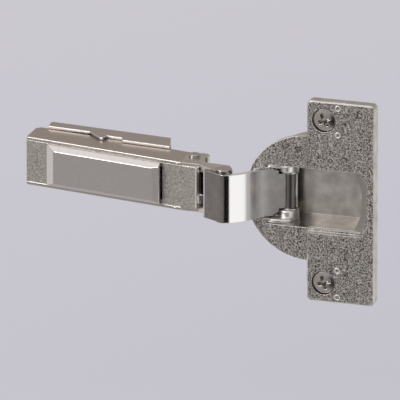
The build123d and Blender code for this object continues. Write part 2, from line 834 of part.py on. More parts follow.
plain_axle("outer_cup_axle", outer_cup, outer_cup_pin_diameter, wall_reach)
plain_axle("inner_cup_axle", inner_cup, inner_cup_pin_diameter, wall_reach)


# ======== cup screws: countersunk wood screws through the flange
for name, z in (("upper_cup_screw", cup_screw_pitch / 2), ("lower_cup_screw", -cup_screw_pitch / 2)):
    with BuildPart() as cup_screw:
        shank_top = screw_seat - (cup_screw_head_diameter - cup_screw_diameter) / 2
        shank_bottom = screw_head_top - cup_screw_length
        with BuildSketch(door_side.offset(-z)):
            with BuildLine():
                Polyline(
                    (cup_screw_offset, screw_head_top),
                    (cup_screw_offset + cup_screw_head_diameter / 2, screw_head_top),
                    (cup_screw_offset + cup_screw_head_diameter / 2, screw_seat),
                    (cup_screw_offset + cup_screw_diameter / 2, shank_top),
                    (cup_screw_offset + cup_screw_diameter / 2, shank_bottom),
                    (cup_screw_offset, shank_bottom),
                    close=True,
                )
            make_face()
        screw_foot = from_door(cup_screw_offset, 0)
        revolve(axis=Axis((screw_foot[0], -screw_foot[1], z), door_face.z_dir))
        extrude(
            cross(door_face.offset(screw_head_top), (cup_screw_offset, z), cup_recess_length),
            amount=-recess_depth,
            mode=Mode.SUBTRACT,
        )
    save(cup_screw, name)
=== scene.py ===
# %% [markdown]
# # A concealed cup hinge, open at its stop
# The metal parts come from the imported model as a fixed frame.  This notebook gives each of them
# the finish that the real one has, adds the small forms that a workshop drawing leaves out, and
# puts the hinge in a plain studio.  Everything is in metres and stays where the frame puts it.

# %% Load the frame
import math

import bmesh
import bpy
import numpy as np
from mathutils import Matrix, Vector


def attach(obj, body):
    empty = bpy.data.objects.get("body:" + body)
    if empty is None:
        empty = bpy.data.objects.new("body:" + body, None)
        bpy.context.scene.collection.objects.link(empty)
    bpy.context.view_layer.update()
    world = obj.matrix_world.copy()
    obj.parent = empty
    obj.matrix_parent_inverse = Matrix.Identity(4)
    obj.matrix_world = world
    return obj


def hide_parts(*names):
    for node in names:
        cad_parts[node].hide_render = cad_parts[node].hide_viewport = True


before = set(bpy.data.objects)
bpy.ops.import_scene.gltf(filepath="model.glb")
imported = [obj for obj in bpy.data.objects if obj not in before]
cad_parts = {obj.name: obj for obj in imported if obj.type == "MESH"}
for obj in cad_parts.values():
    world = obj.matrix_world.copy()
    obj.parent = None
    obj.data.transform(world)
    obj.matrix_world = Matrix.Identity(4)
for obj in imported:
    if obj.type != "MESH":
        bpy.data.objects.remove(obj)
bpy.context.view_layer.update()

MM = 0.001

# %% [markdown]
# Three flat faces carry the whole hinge, and each has its own pair of directions.  The arm's front
# leans 4.4 degrees off the cabinet's side, the cup's face 5.7 degrees the other way.  Naming the
# two faces once lets every later piece be drawn flat, in millimetres, and then laid on its face.
# The other way would be to move and turn finished objects, but a part of the hinge must keep its
# object at the origin, so the place goes into the mesh.

# %% The two working faces
def face(origin, degrees):
    """Origin, direction along, direction off the face and up, for a face leaning by an angle."""
    a = math.radians(degrees)
    along = np.array([math.cos(a), math.sin(a), 0.0])
    off = np.array([math.sin(a), -math.cos(a), 0.0])
    return np.array(origin) * MM, along, off, np.array([0.0, 0.0, 1.0])


ARM = face((36.5, -18.3, 0), -4.4)
DOOR = face((70.95, -12.9, 0), 5.7)


def lay(where, along, off, up):
    """Point = origin + along * A + off * O + up * U, with the three lengths in millimetres."""
    origin, a_axis, o_axis, u_axis = where
    return (origin + MM * (np.asarray(along)[..., None] * a_axis + np.asarray(off)[..., None] * o_axis
                           + np.asarray(up)[..., None] * u_axis))


print("arm faces", ARM[2].round(3), "cup faces", DOOR[2].round(3))

# %% [markdown]
# Colours are picked as sRGB hex values, as a screen shows them.  Blender's shaders work in linear
# light, so one function turns each value over.  A second function adds a shader node, sets its
# sockets and links them, so that every material below reads as a short list of nodes.

# %% Colour and node helpers
def linear(code):
    """sRGB hex to linear RGBA: c/12.92 below 0.04045, else ((c + 0.055)/1.055) to the power 2.4."""
    c = np.array([int(code[i:i + 2], 16) for i in (1, 3, 5)]) / 255
    c = np.where(c <= 0.04045, c / 12.92, ((c + 0.055) / 1.055) ** 2.4)
    return (*c.tolist(), 1.0)


def add(tree, kind, sets=None, **sockets):
    """Adds one node.  sets are its settings; sockets are values, or links where a socket is given.

    A socket is named with _ for a space, or by its number after an i, where names are shared."""
    node = tree.nodes.new(kind)
    for name, value in (sets or {}).items():
        setattr(node, name, value)
    for name, value in sockets.items():
        key = int(name[1:]) if name[1:].isdigit() and name[0] == "i" else name.replace("_", " ")
        if isinstance(value, bpy.types.NodeSocket):
            tree.links.new(value, node.inputs[key])
        else:
            node.inputs[key].default_value = value
    return node


def new_material(name):
    """An empty node material with its output and a Principled shader."""
    material = bpy.data.materials.new(name)
    material.use_nodes = True
    tree = material.node_tree
    tree.nodes.clear()
    output = tree.nodes.new("ShaderNodeOutputMaterial")
    shader = tree.nodes.new("ShaderNodeBsdfPrincipled")
    tree.links.new(shader.outputs[0], output.inputs["Surface"])
    return material, tree, shader


def finish_metal(tree, shader, tint, gloss, normal):
    """Links a metal's colour, roughness and normal to the shader and makes it fully metallic."""
    for socket, value in (("Base Color", tint), ("Roughness", gloss), ("Normal", normal)):
        tree.links.new(value, shader.inputs[socket])
    shader.inputs["Metallic"].default_value = 1.0


print("#808080 on a screen is", round(linear("#808080")[0], 3), "in linear light")

# %% [markdown]
# Handling and tumbling round off every edge of plated metal.  Modelled fillets would cost thousands
# of faces.  The Bevel node gives the same round shading for nothing, and where its normal turns
# away from the flat one lies the edge: there the colour goes to near white, a painted highlight
# along every edge.

# %% Rounded edges with a painted highlight
HIGHLIGHT_COSINES = (0.97, 0.85)      # rounded and flat normals part by 14 degrees, and by 32


def bright_edges(tree, tint, radius, bright="#F6F4F1"):
    """Rounded normal, and the tint mixed to a near-white painted highlight where rounded and flat normals
    part.
    """
    rounded = add(tree, "ShaderNodeBevel", {"samples": 6}, Radius=radius)
    flat = add(tree, "ShaderNodeNewGeometry").outputs["Normal"]
    facing = add(tree, "ShaderNodeVectorMath", {"operation": "DOT_PRODUCT"}, i0=rounded.outputs[0], i1=flat)
    # Painted highlight: the tint goes to near white where the edge turns away from the flat face.
    edge_highlight_mask = add(tree, "ShaderNodeMapRange", Value=facing.outputs["Value"], From_Min=HIGHLIGHT_COSINES[0],
               From_Max=HIGHLIGHT_COSINES[1])
    shown = add(tree, "ShaderNodeMix", {"data_type": "RGBA"}, Factor=edge_highlight_mask.outputs[0], i6=tint,
                i7=linear(bright))
    return rounded.outputs[0], shown.outputs[2]


# %% [markdown]
# The cup and the arm's body are zinc die castings, plated with nickel.  Their show faces come out
# of a spark-eroded die, which leaves them pitted like fine sandpaper, while the walls, the rims and
# the pocket are smooth.  A second texture map could say where the pits go, but the faces are flat,
# so a plain test does it: a point is pitted where the surface looks straight off its face and lies
# above a given depth.  One noise then makes the pits, both their colour and their relief, and a
# coarser one clouds the smooth parts.  Some deep walls that look to one side are given a tint of
# their own, which is painted shade.  The real pits are finer than the spacing here, too fine for a
# picture of the whole hinge, so they are drawn at 0.42 mm.

# %% Grained casting
SQUARE_ON = (0.97, 0.99)         # cosine to the face's own direction: 14 degrees off it, and 8
TURNED = 0.3                     # least cosine for a wall that looks towards a given side
SMOOTH_ROUGHNESS = 0.3           # of walls, rims and pocket
FADE = 0.1 * MM                  # depth over which the pits stop


def die_cast_zinc(name, where, show_depth, pale, dark, smooth, speck, depth, rough, hollow, away, painted_shade_colour):
    """Nickel-plated zinc, pitted on its show face; speck is the pit spacing, depth the relief, in metres.

    Deeper than hollow[0] and within hollow[1] of the middle, walls that look towards away take a flat colour,
    a painted shade."""
    material, tree, shader = new_material(name)
    coordinates = add(tree, "ShaderNodeTexCoord")
    place = coordinates.outputs["Object"]
    square, sideways = [add(tree, "ShaderNodeVectorMath", {"operation": "DOT_PRODUCT"},
                            i0=coordinates.outputs["Normal"], i1=axis.tolist()).outputs["Value"]
                        for axis in (where[2], away)]
    level = add(tree, "ShaderNodeVectorMath", {"operation": "DOT_PRODUCT"}, i0=place,
                i1=where[2].tolist()).outputs["Value"]
    base = float(where[0] @ where[2])
    faces_out = add(tree, "ShaderNodeMapRange", Value=square, From_Min=SQUARE_ON[0], From_Max=SQUARE_ON[1])
    near_top = add(tree, "ShaderNodeMapRange", Value=level, From_Min=base - show_depth - FADE,
                   From_Max=base - show_depth)
    show = add(tree, "ShaderNodeMath", {"operation": "MULTIPLY"}, i0=faces_out.outputs[0],
               i1=near_top.outputs[0]).outputs[0]
    pits = add(tree, "ShaderNodeTexNoise", Vector=place, Scale=1 / speck, Detail=2.5, Roughness=0.65)
    blotch = add(tree, "ShaderNodeTexNoise", Vector=place, Scale=0.12 / speck, Detail=2.0)
    spots = add(tree, "ShaderNodeMapRange", {"interpolation_type": "SMOOTHSTEP"}, Value=pits.outputs["Fac"],
                From_Min=0.34, From_Max=0.68)
    grained = add(tree, "ShaderNodeMix", {"data_type": "RGBA"}, Factor=spots.outputs[0], i6=linear(dark),
                  i7=linear(pale))
    cloudy = add(tree, "ShaderNodeMix", {"data_type": "RGBA"}, Factor=blotch.outputs["Fac"],
                 i6=linear(smooth), i7=linear(pale))
    tint = add(tree, "ShaderNodeMix", {"data_type": "RGBA"}, Factor=show, i6=cloudy.outputs[2],
               i7=grained.outputs[2])
    # Painted shade: deep walls that look towards away get a flat colour of their own.
    turned = add(tree, "ShaderNodeMath", {"operation": "GREATER_THAN"}, i0=sideways, i1=TURNED)
    below = add(tree, "ShaderNodeMath", {"operation": "LESS_THAN"}, i0=level, i1=base - hollow[0])
    middle = add(tree, "ShaderNodeMath", {"operation": "ABSOLUTE"},
                 i0=add(tree, "ShaderNodeSeparateXYZ", Vector=place).outputs["Z"])
    inside = add(tree, "ShaderNodeMath", {"operation": "LESS_THAN"}, i0=middle.outputs[0], i1=hollow[1])
    deep = add(tree, "ShaderNodeMath", {"operation": "MULTIPLY"}, i0=below.outputs[0], i1=inside.outputs[0])
    shade = add(tree, "ShaderNodeMath", {"operation": "MULTIPLY"}, i0=deep.outputs[0], i1=turned.outputs[0])
    tint = add(tree, "ShaderNodeMix", {"data_type": "RGBA"}, Factor=shade.outputs[0], i6=tint.outputs[2],
               i7=linear(painted_shade_colour))
    rounded, tint = bright_edges(tree, tint.outputs[2], 0.25 * MM)
    height = add(tree, "ShaderNodeMath", {"operation": "MULTIPLY"}, i0=pits.outputs["Fac"], i1=show)
    relief = add(tree, "ShaderNodeBump", Strength=0.8, Distance=depth, Height=height.outputs[0],
                 Normal=rounded)
    gloss = add(tree, "ShaderNodeMapRange", Value=show, To_Min=SMOOTH_ROUGHNESS, To_Max=rough)
    finish_metal(tree, shader, tint, gloss.outputs[0], relief.outputs[0])
    return material


# The last colour of each casting is painted shade on its deep walls.
cup_casting = die_cast_zinc(
    "nickel_plated_zinc_casting", DOOR, show_depth=1.1 * MM, pale="#E8E3DC", dark="#47423E",
    smooth="#8D8882", speck=0.42 * MM, depth=0.07 * MM, rough=0.45, hollow=(-0.1 * MM, 11 * MM),
    away=-DOOR[1], painted_shade_colour="#A5A09A")
arm_casting = die_cast_zinc(
    "nickel_plated_zinc_fine_casting", ARM, show_depth=0.4 * MM, pale="#D6D0C9", dark="#9C968F",
    smooth="#B1AAA3", speck=0.42 * MM, depth=0.04 * MM, rough=0.42, hollow=(1.6 * MM, 6.1 * MM),
    away=np.array([0, 0, 1.0]), painted_shade_colour="#3A3633")
print("castings:", cup_casting.name, arm_casting.name)

# %% [markdown]
# The arm's channel, its cover, the plate and the links are cold-rolled steel strip, pressed and
# then plated with nickel.  Rolling leaves a fine straight grain, and the plating is warm grey.
# The grain is a noise that is stretched along the strip.  The real lines are a few hundredths of a
# millimetre apart, too fine for any picture of the whole hinge, so they are drawn at 0.4 mm.

# %% Pressed steel
def plated_steel(name, colour, rough, grain, stretch, edge=0.15 * MM, variation=0.1):
    """Nickel-plated steel; grain is the spacing of the rolling lines in metres, stretch their run.

    The colour strays by the variation either way, and edge is the radius of its rounded edges, which carry a
    painted highlight."""
    material, tree, shader = new_material(name)
    where = add(tree, "ShaderNodeTexCoord").outputs["Object"]
    along = add(tree, "ShaderNodeMapping", Vector=where, Scale=stretch)
    lines = add(tree, "ShaderNodeTexNoise", Vector=along.outputs[0], Scale=1 / grain, Detail=3.0,
                Roughness=0.55)
    cloud = add(tree, "ShaderNodeTexNoise", Vector=where, Scale=220.0, Detail=2.0)
    base = linear(colour)
    low = (*[c * (1 - variation) for c in base[:3]], 1.0)
    high = (*[min(1.0, c * (1 + variation)) for c in base[:3]], 1.0)
    tint = add(tree, "ShaderNodeMix", {"data_type": "RGBA"}, Factor=lines.outputs["Fac"], i6=low, i7=high)
    rounded, tint = bright_edges(tree, tint.outputs[2], edge)
    relief = add(tree, "ShaderNodeBump", Strength=0.2, Distance=0.02 * MM, Height=lines.outputs["Fac"],
                 Normal=rounded)
    gloss = add(tree, "ShaderNodeMapRange", Value=cloud.outputs["Fac"], To_Min=rough - 0.04,
                To_Max=rough + 0.06)
    finish_metal(tree, shader, tint, gloss.outputs[0], relief.outputs[0])
    return material


channel_steel = plated_steel("nickel_plated_channel_steel", "#B5ACA4", 0.34, 0.4 * MM, (0.1, 1, 1), 0.5 * MM)
cover_steel = plated_steel("nickel_plated_cover_steel", "#C4BFBC", 0.26, 0.4 * MM, (0.3, 1, 1), 0.05 * MM)
plate_steel = plated_steel("nickel_plated_plate_steel", "#B8B0AB", 0.34, 0.4 * MM, (0.1, 1, 1), 0.45 * MM)
axle_steel = plated_steel("bright_drawn_axle_steel", "#B3ADA7", 0.25, 0.3 * MM, (1, 1, 0.1))
screw_steel = plated_steel("nickel_plated_screw_steel", "#B8B3AD", 0.22, 0.3 * MM, (1, 1, 1))
spring_steel = plated_steel("tempered_spring_steel", "#7E7872", 0.35, 0.3 * MM, (0.1, 1, 1))
inner_strip = plated_steel("nickel_plated_inner_link_strip", "#9C9793", 0.3, 0.35 * MM, (1, 1, 0.1))
print("steels:", channel_steel.name, cover_steel.name, plate_steel.name, "and four more")

# %% [markdown]
# The wide link is the brightest piece.  Its bend and its rolled eye are glossy like a mirror, while
# the flat web behind the bend and the strip's free end behind the arm's axle are rougher, with a
# faint grain across the strip.  Their colours are painted reflections: near white, a painted
# highlight, on the bend and the eye, and grey, a painted dark reflection, on the web and free end.
# Ramps along the cabinet's side fade colour and gloss between them, so there is no seam.  Close
# to the eye the web is painted darker, painted shade where it looks into the cup; further back it is painted
# lighter.

# %% Link strip with painted reflections
FREE_END = (48.3, 47.8)          # all four along X, in millimetres: where a change begins and ends
BEND_TO_WEB = (52.0, 58.5)
EYE_TO_WEB = (64.7, 64.58)
# Painted light and shade on the web: lighter before 61.9 mm, darker past 63.6 mm, near the eye.
INTO_THE_CUP = (61.9, 63.6)


def strip_with_painted_reflections(name, bright, dull):
    """Nickel-plated strip: glossy with a painted highlight on its bend and eye, rougher and painted grey on
    its web and free end.
    """
    material, tree, shader = new_material(name)
    where = add(tree, "ShaderNodeTexCoord").outputs["Object"]
    x = add(tree, "ShaderNodeSeparateXYZ", Vector=where).outputs["X"]
    # Four ramps: bend to web, free end, eye, and the painted light and shade along the web.
    fade, tail, eye, shadow = [
        add(tree, "ShaderNodeMapRange", {"interpolation_type": "SMOOTHSTEP"}, Value=x, From_Min=start * MM,
            From_Max=end * MM, To_Min=low, To_Max=high).outputs[0]
        for (start, end), low, high in ((BEND_TO_WEB, 0.0, 1.0), (FREE_END, 0.0, 1.0), (EYE_TO_WEB, 0.0, 1.0),
                                        (INTO_THE_CUP, 1.28, 0.45))]
    web = add(tree, "ShaderNodeMath", {"operation": "MULTIPLY"}, i0=fade, i1=eye)
    rough_and_painted_grey = add(tree, "ShaderNodeMath", {"operation": "MAXIMUM"}, i0=web.outputs[0], i1=tail).outputs[0]
    along = add(tree, "ShaderNodeMapping", Vector=where, Scale=(0.3, 0.3, 1))
    lines = add(tree, "ShaderNodeTexNoise", Vector=along.outputs[0], Scale=1 / (0.4 * MM), Detail=3.0)
    cloud = add(tree, "ShaderNodeTexNoise", Vector=where, Scale=300.0, Detail=3.0)
    low = (*[c * 0.72 for c in linear(dull)[:3]], 1.0)
    high = add(tree, "ShaderNodeVectorMath", {"operation": "SCALE"}, i0=linear(dull)[:3], Scale=shadow)
    grey = add(tree, "ShaderNodeMix", {"data_type": "RGBA"}, Factor=cloud.outputs["Fac"], i6=low,
               i7=high.outputs[0])
    streak = add(tree, "ShaderNodeMix", {"data_type": "RGBA", "blend_type": "MULTIPLY"}, Factor=0.25,
                 i6=grey.outputs[2], i7=lines.outputs["Fac"])
    # Painted reflections: near white on the bend and eye, painted grey on the web and free end.
    tint = add(tree, "ShaderNodeMix", {"data_type": "RGBA"}, Factor=rough_and_painted_grey, i6=linear(bright),
               i7=streak.outputs[2])
    rounded, tint = bright_edges(tree, tint.outputs[2], 0.2 * MM)
    height = add(tree, "ShaderNodeMath", {"operation": "MULTIPLY"}, i0=lines.outputs["Fac"], i1=rough_and_painted_grey)
    relief = add(tree, "ShaderNodeBump", Strength=0.3, Distance=0.02 * MM, Height=height.outputs[0],
                 Normal=rounded)
    gloss = add(tree, "ShaderNodeMapRange", Value=rough_and_painted_grey, To_Min=0.1, To_Max=0.32)
    finish_metal(tree, shader, tint, gloss.outputs[0], relief.outputs[0])
    return material


link_steel = strip_with_painted_reflections("nickel_link_strip_with_painted_reflections", "#F4F3F2", "#928D8A")
print("link strip:", link_steel.name)

# %% [markdown]
# Each part of the frame now takes its finish.  A table of names is plainer than a rule here, since
# every part of a hinge has its own job and its own metal.

# %% Put the finishes on the frame's parts
finish_of = {
    "mounting_plate": plate_steel, "slide_shoe": plate_steel, "clamp_washer": screw_steel,
    "clamp_screw": screw_steel, "overlay_screw": screw_steel, "arm_channel": channel_steel,
    "arm_body": arm_casting, "arm_cover": cover_steel, "tilt_axle": axle_steel,
    "outer_arm_axle": axle_steel, "inner_arm_axle": axle_steel, "closing_spring": spring_steel,
    "spring_rivet": axle_steel, "outer_link": link_steel, "inner_link": inner_strip,
    "cup": cup_casting, "outer_cup_axle": axle_steel, "inner_cup_axle": axle_steel,
    "upper_cup_screw": screw_steel, "lower_cup_screw": screw_steel,
}
for node_name, material in finish_of.items():
    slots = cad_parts[node_name].data.materials
    slots.clear()
    slots.append(material)
print("finished parts:", len(finish_of))

# %% [markdown]
# Every new piece is one or more sheets of quads, each worked out from two numbers.  This turns a
# grid of points into a mesh.  Going round, the last column joins the first; along, a first or last
# row that sits on one point closes into a fan.  Blender could spin or sweep the same shapes, but a grid
# keeps the formula in view and the faces in order.

# %% From a grid of points to a piece
MERGE_WITHIN = 1e-6


def finish_mesh(mesh, smooth):
    """Merges points closer than a micrometre, turns every face outwards and sets the shading."""
    shell = bmesh.new()
    shell.from_mesh(mesh)
    bmesh.ops.remove_doubles(shell, verts=shell.verts, dist=MERGE_WITHIN)
    bmesh.ops.recalc_face_normals(shell, faces=shell.faces)
    shell.to_mesh(mesh)
    shell.free()
    mesh.polygons.foreach_set("use_smooth", np.full(len(mesh.polygons), smooth))


def grid_mesh(name, grids, material, body, smooth=True):
    """Quads between neighbouring points of each (rows, columns, 3) grid, joined round the columns."""
    points, quads, first = [], [], 0
    for grid in grids:
        rows, columns = grid.shape[:2]
        index = first + np.arange(rows * columns).reshape(rows, columns)
        around = np.roll(index, -1, axis=1)
        quads.append(np.stack([index[:-1], around[:-1], around[1:], index[1:]], axis=-1).reshape(-1, 4))
        points.append(grid.reshape(-1, 3))
        first += rows * columns
    mesh = bpy.data.meshes.new(name)
    mesh.from_pydata(np.concatenate(points).tolist(), [], np.concatenate(quads).tolist())
    mesh.validate()
    piece = bpy.data.objects.new(name, mesh)
    bpy.context.scene.collection.objects.link(piece)
    finish_mesh(mesh, smooth)
    mesh.materials.append(material)
    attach(piece, body)
    print(name, len(mesh.polygons), "faces on", body)
    return piece


# %% [markdown]
# The cover is a thin pressed cap that snaps over the arm's screws.  Its four sides slope up to a
# flat top, and the press leaves every edge a little round, which is what draws the thin dark and
# bright lines round the top.  The drawing has sharp edges, so this cap takes its place.  Its height
# is the lowest of five planes, blended where they meet.

# %% Cover cap
COVER_ALONG = (-51.5, -12.3)     # rear and front end on the arm's face, in millimetres
COVER_HALF = 6.6                 # half its width
COVER_TOP, COVER_FOOT = 2.6, 0.02
BLEND = 0.16                     # width of the pressed rounding between two planes


def soft_min(a, b):
    """Lower of two values, rounded off: min(a, b) - max(BLEND - |a - b|, 0)^2 / (4 BLEND)."""
    return np.minimum(a, b) - np.maximum(BLEND - np.abs(a - b), 0) ** 2 / (4 * BLEND)


def cover_height(along, up):
    """Height off the arm: the flat top, or the slope up from the nearest of the four edges."""
    rear = 1.0 + (along - COVER_ALONG[0]) * 0.50
    front = 2.1 + (COVER_ALONG[1] - along) * 0.21
    side = 1.1 + (COVER_HALF - np.abs(up)) * 1.06
    return soft_min(soft_min(soft_min(np.full_like(along, COVER_TOP), rear), front), side)


def cover_grid():
    """Square rings from a middle line out to the edge, lifted to cover_height, then skirt and underside."""
    middle, half = np.mean(COVER_ALONG), (COVER_ALONG[1] - COVER_ALONG[0]) / 2
    angle = np.linspace(0, 2 * math.pi, 600, endpoint=False)
    circle = np.stack([np.cos(angle), np.sin(angle)])
    square = circle / np.abs(circle).max(axis=0)
    scale = np.concatenate([[0.0], np.linspace(0.3, 1.0, 60)])[:, None]
    along = middle + half * square[0] * (1 - (1 - scale) * (COVER_HALF - 0.2) / half)
    along[0] = middle + square[0] * (half - COVER_HALF)
    up = COVER_HALF * square[1] * scale
    foot = np.full_like(along[-1:], COVER_FOOT)
    return np.concatenate([lay(ARM, along, cover_height(along, up), up), lay(ARM, along[-1:], foot, up[-1:]),
                           lay(ARM, middle + 0 * foot, foot, 0 * foot)])


cover_cap = grid_mesh("cover_cap", [cover_grid()], cover_steel, "arm")
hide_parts("arm_cover")

# %% [markdown]
# The flange is held by two countersunk wood screws.  Each is one surface round its axis, from the
# middle of the head to the point.  The head is slightly domed, with a cross-shaped socket pressed
# into it.  The thread is a ridge that climbs one pitch in each turn.  A screw could be a profile
# spun round and a cross cut out of it, but with the radius and the height given as formulas the
# socket and the thread need no cutting.

# %% Wood screws
SCREW_U, SCREW_Z = 5.5, 26.0     # place on the cup's face, and below heights off it, in millimetres
HEAD_TOP, HEAD_RADIUS, HEAD_DOME = 1.4, 3.5, 0.46
SHANK_RADIUS, CORE_RADIUS, RIDGE = 1.6, 1.18, 0.42
SCREW_TIP, POINT_LENGTH, THREAD_PITCH = -12.6, 3.0, 1.6


def cross_socket(x, y, arm_length=2.3, arm_width=0.5, depth=1.7):
    """Depth of a cross-shaped socket: of two slots the deeper, each depth * step(width) * step(length)."""
    def step(value, low, high):
        t = np.clip((value - low) / (high - low), 0, 1)
        return t * t * (3 - 2 * t)
    slot_x = step(arm_width + 0.15 - np.abs(y), 0, 0.3) * step(arm_length - np.abs(x), 0, 0.9)
    slot_y = step(arm_width + 0.15 - np.abs(x), 0, 0.3) * step(arm_length - np.abs(y), 0, 0.9)
    return depth * np.maximum(slot_x, slot_y)


def wood_screw(name, z, node, turn):
    """Round its axis, radius(s) + ridge(angle, s); its top is raised by a dome and lowered by the socket."""
    angle = np.linspace(0, 2 * math.pi, 96, endpoint=False)[None, :]
    head_r = np.concatenate([np.linspace(0, 2.5, 48), np.linspace(2.6, HEAD_RADIUS - 0.12, 8)])[:, None]
    x, y = head_r * np.cos(angle), head_r * np.sin(angle)
    c, s = math.cos(turn), math.sin(turn)
    dome = HEAD_DOME * (1 - (head_r / HEAD_RADIUS) ** 2)
    head_w = HEAD_TOP + dome - cross_socket(c * x + s * y, c * y - s * x)
    rim_r = np.array([[HEAD_RADIUS - 0.03], [HEAD_RADIUS], [HEAD_RADIUS], [SHANK_RADIUS + 0.1]])
    rim_w = np.array([[HEAD_TOP - 0.04], [HEAD_TOP - 0.14], [0.2], [-1.7]]) + 0 * angle
    down = np.linspace(0, 1, 150)[:, None]
    shank_w = -1.75 + down * (SCREW_TIP + 1.75)
    taper = np.clip((shank_w - SCREW_TIP) / POINT_LENGTH, 0, 1)
    phase = (angle / (2 * math.pi) + shank_w / THREAD_PITCH) % 1.0
    ridge = RIDGE * np.maximum(0, 1 - np.abs(phase - 0.5) / 0.28) * np.clip((-2.6 - shank_w) / 0.8, 0, 1)
    shank_r = (CORE_RADIUS + 0.4 * np.clip((shank_w + 3.2) / 0.8, 0, 1) + ridge) * taper
    radius = np.concatenate([head_r + 0 * angle, rim_r + 0 * angle, shank_r])
    off = np.concatenate([head_w, rim_w, shank_w + 0 * angle])
    grid = lay(DOOR, SCREW_U + radius * np.cos(angle), off, z + radius * np.sin(angle))
    piece = grid_mesh(name, [grid], screw_steel, "cup")
    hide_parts(node)


wood_screw("upper_wood_screw", SCREW_Z, "upper_cup_screw", 0.5)
wood_screw("lower_wood_screw", -SCREW_Z, "lower_cup_screw", 0.35)

# %% [markdown]
# Four small raised rings stand on the flange, above and below each screw, where the die's ejector
# pins pushed the casting out.  A ring is half a doughnut: a small circle carried round a big one.
# Such small polished forms take a plating of their own, brighter than the grained face.

# %% Ejector rings
smooth_zinc = plated_steel("smooth_nickel_on_zinc", "#F0ECE8", 0.36, 0.4 * MM, (1, 1, 1), 0.1 * MM, 0.08)
RING_U, FLANGE_TOP = 9.9, 2.0    # along the cup's face and off it, in millimetres


def raised_ring(u, z, big=0.78, small=0.2):
    """Torus, half sunk: along = big + small cos t, off = small sin t, carried round the big circle."""
    t = np.linspace(0, 2 * math.pi, 17)[:, None]
    p = np.linspace(0, 2 * math.pi, 40, endpoint=False)[None, :]
    out_r = big + small * np.cos(t)
    return lay(DOOR, u + out_r * np.cos(p), FLANGE_TOP + small * np.sin(t) + 0 * p, z + out_r * np.sin(p))


rings = [raised_ring(RING_U, side * (SCREW_Z + step)) for side in (-1, 1) for step in (-4.3, 4.2)]
ejector_rings = grid_mesh("ejector_rings", rings, smooth_zinc, "cup")

# %% [markdown]
# Inside the pocket the cup's axle is held by two cast lumps, thick on the side towards the arm and
# thin on the other, that hide the corners of the link.  Each is a tube round the axle whose radius
# swells to one side, with rounded rims.  They stay inside a 3.9 mm circle, so the link's shoulders
# swing past them.  Between each lump and the rim, the pocket's wall bulges into a flat cheek beside
# the link.

# %% Axle lumps in the cup
LUMP_U, LUMP_W = -7.6, -6.7      # the axle, along the cup's face and off it, in millimetres
CHEEK_U, CHEEK_W = -10.6, -3.9


def axle_lump(side):
    """Closed tube: radius = (2.65 + 1.2 max(0, cos(angle - 125 deg))^1.5) * rim(z), with domed ends."""
    s = np.linspace(0, 1, 40)[:, None]
    p = np.linspace(0, 2 * math.pi, 72, endpoint=False)[None, :]
    swell = 2.65 + 1.2 * np.maximum(0, np.cos(p - math.radians(125))) ** 1.5
    rim = np.sqrt(np.clip(1 - (np.abs(2 * s - 1)) ** 8, 0, 1))
    z = side * (5.65 + 3.95 * s)
    return lay(DOOR, LUMP_U + swell * rim * np.cos(p), LUMP_W + swell * rim * np.sin(p), z + 0 * p)


def cheek(side):
    """Flat pebble beside the link: an ellipse 10 by 6.4 mm, tilted 14 degrees, with a rounded rim."""
    s = np.linspace(0, 1, 30)[:, None]
    p = np.linspace(0, 2 * math.pi, 80, endpoint=False)[None, :]
    rim = np.sqrt(np.clip(1 - (np.abs(2 * s - 1)) ** 4, 0, 1))
    long, wide, tilt = 5.0 * rim * np.cos(p), 3.2 * rim * np.sin(p), math.radians(-14)
    u = CHEEK_U + long * math.cos(tilt) - wide * math.sin(tilt)
    w = CHEEK_W + long * math.sin(tilt) + wide * math.cos(tilt)
    return lay(DOOR, u, w, side * (7.85 + 1.9 * s) + 0 * p)


axle_lumps = grid_mesh("axle_lumps", [axle_lump(1), axle_lump(-1), cheek(1), cheek(-1)],
                       smooth_zinc, "cup")

# %% [markdown]
# The wide link narrows where it enters the cup, and its shoulders run in a hollow curve down to the
# rolled eye.  The drawing has a straight slant there.  A fillet of metal on each side fills it out:
# a bar along the strip whose outer side falls from the full width.  It keeps 4 mm off the axle, so
# the cup's lumps clear it as the door swings.

# %% Shoulders of the wide link
AXLE = (62.72, 6.99)             # the cup's axle, along X and off the cabinet, in millimetres
STRIP = (-0.706, 0.708)          # from the axle up the strip
SHOULDER = (4.02, 6.4)           # how far up the strip a shoulder begins and ends


def link_shoulder(side):
    """Oval bar from 4.02 to 6.4 mm up the strip; its outer side is 6.55 + 1.0 s^0.7, s from 0 to 1."""
    s = np.linspace(0, 1, 40)[:, None]
    p = np.linspace(0, 2 * math.pi, 48, endpoint=False)[None, :]
    rim = np.clip(1 - np.abs(2 * s - 1) ** 14, 0, 1) ** 0.5
    inner, outer = 5.2, 6.55 + 1.0 * s ** 0.7
    far = SHOULDER[0] + (SHOULDER[1] - SHOULDER[0]) * s
    c, d = np.cos(p), np.sin(p)
    z = side * ((inner + outer) / 2 + (outer - inner) / 2 * np.sign(c) * np.abs(c) ** 0.35 * rim)
    thick = 0.68 * np.sign(d) * np.abs(d) ** 0.35 * rim
    x = AXLE[0] + STRIP[0] * far + STRIP[1] * thick
    height = AXLE[1] + STRIP[1] * far - STRIP[0] * thick
    return np.stack([x, -height, z], axis=-1) * MM


shoulders = grid_mesh("link_shoulders", [link_shoulder(1), link_shoulder(-1)], link_steel, "outer_link")

# %% [markdown]
# The disc's rim is notched to let the links through.  The casting leaves hardly any play beside the
# wide link, so a lip runs along each side of the notch.  Its outer end follows the disc's circle.

# %% Lips of the notch
DISC_RADIUS, LIP_END = 19.75, -12.4


